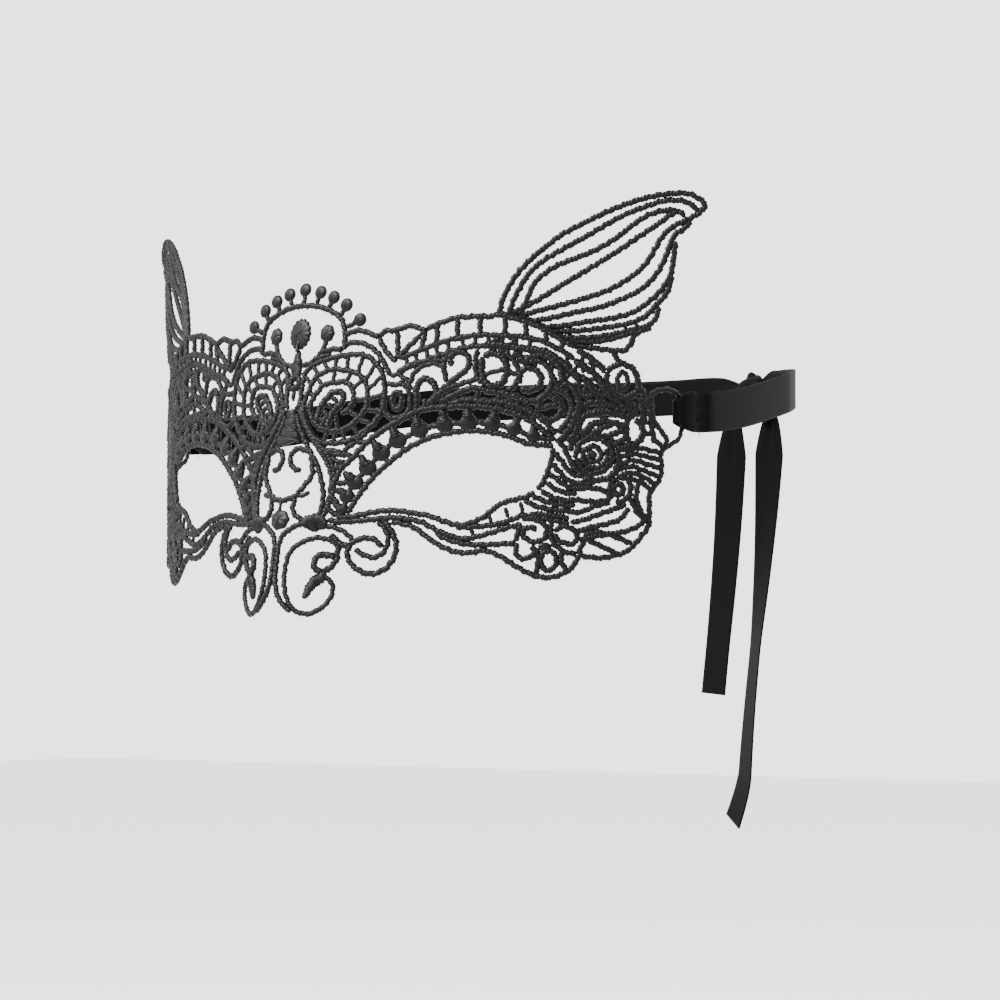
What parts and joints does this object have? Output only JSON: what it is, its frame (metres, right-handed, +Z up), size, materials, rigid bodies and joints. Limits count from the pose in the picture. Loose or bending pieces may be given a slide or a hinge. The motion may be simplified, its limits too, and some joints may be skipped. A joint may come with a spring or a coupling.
{
  "type": "lace eye mask with animal ears",
  "caption": "Guipure lace eye mask with a standing animal ear over each brow, tied behind the head with satin ribbon through a loop at each temple.",
  "frame": {"origin": "the rest on the bridge of the nose, midway between the two small knots beside the pendant flower", "axes": "+Z up, -Y out of the front of the mask, +X towards the wearer's left"},
  "size_m": [0.217, 0.2067, 0.1901],
  "materials": {
    "lace_thread": "twisted polyester embroidery thread, soft sheen",
    "satin_ribbon": "smooth black satin",
    "sewing_thread": "fine matt sewing thread"
  },
  "bodies": {
    "mask": {"centre_stem": "lace_thread", "crest_arch": "lace_thread", "crest_flower": "lace_thread", "left_brow_scrolls": "lace_thread", "left_cheek_curls": "lace_thread", "left_cheek_petals": "lace_thread", "left_crest_bud": "lace_thread", "left_eye_rim": "lace_thread", "left_forehead_spiral": "lace_thread", "left_ladder_band": "lace_thread", "left_lash_ribs": "lace_thread", "left_nose_scroll": "lace_thread", "left_pendant_knot": "lace_thread", "left_rib_fan": "lace_thread", "left_side_curl": "lace_thread", "left_temple_loop": "lace_thread", "left_temple_medallion": "lace_thread", "left_temple_scrolls": "lace_thread", "left_top_scallops": "lace_thread", "left_under_eye_strands": "lace_thread", "nose_pendant": "lace_thread", "pendant_flower": "lace_thread", "right_brow_scrolls": "lace_thread", "right_cheek_curls": "lace_thread", "right_cheek_petals": "lace_thread", "right_crest_bud": "lace_thread", "right_eye_rim": "lace_thread", "right_forehead_spiral": "lace_thread", "right_ladder_band": "lace_thread", "right_lash_ribs": "lace_thread", "right_nose_scroll": "lace_thread", "right_pendant_knot": "lace_thread", "right_rib_fan": "lace_thread", "right_side_curl": "lace_thread", "right_temple_loop": "lace_thread", "right_temple_medallion": "lace_thread", "right_temple_scrolls": "lace_thread", "right_top_scallops": "lace_thread", "right_under_eye_strands": "lace_thread"},
    "left_ear": {"left_ear": "lace_thread"},
    "right_ear": {"right_ear": "lace_thread"},
    "ribbon": {"left_ribbon": "satin_ribbon", "right_ribbon": "satin_ribbon", "left_ribbon_stitching": "sewing_thread", "right_ribbon_stitching": "sewing_thread", "tie_knot": "satin_ribbon"},
    "left_tail": {"left_tail": "satin_ribbon"},
    "right_tail": {"right_tail": "satin_ribbon"}
  },
  "joints": [
    {"name": "left_ear_fold", "type": "hinge", "parent": "mask", "child": "left_ear", "pos_m": [0.06124, 0.02349, 0.0614], "axis": [0.7185, 0.5777, -0.3872], "range_deg": [-30, 30], "stiffness_Nm_per_rad": 0.002},
    {"name": "right_ear_fold", "type": "hinge", "parent": "mask", "child": "right_ear", "pos_m": [-0.06124, 0.02349, 0.0614], "axis": [0.7185, -0.5777, 0.3872], "range_deg": [-30, 30], "stiffness_Nm_per_rad": 0.002},
    {"name": "ribbon_swing", "type": "hinge", "parent": "mask", "child": "ribbon", "pos_m": [0, 0.06283, 0.033], "axis": [1, 0, 0], "range_deg": [-15, 15]},
    {"name": "left_tail_swing", "type": "hinge", "parent": "ribbon", "child": "left_tail", "pos_m": [0.0435, 0.19133, 0.0407], "axis": [1, 0, 0], "range_deg": [-60, 60]},
    {"name": "right_tail_swing", "type": "hinge", "parent": "ribbon", "child": "right_tail", "pos_m": [0.0285, 0.19133, 0.0407], "axis": [1, 0, 0], "range_deg": [-60, 60]}
  ]
}
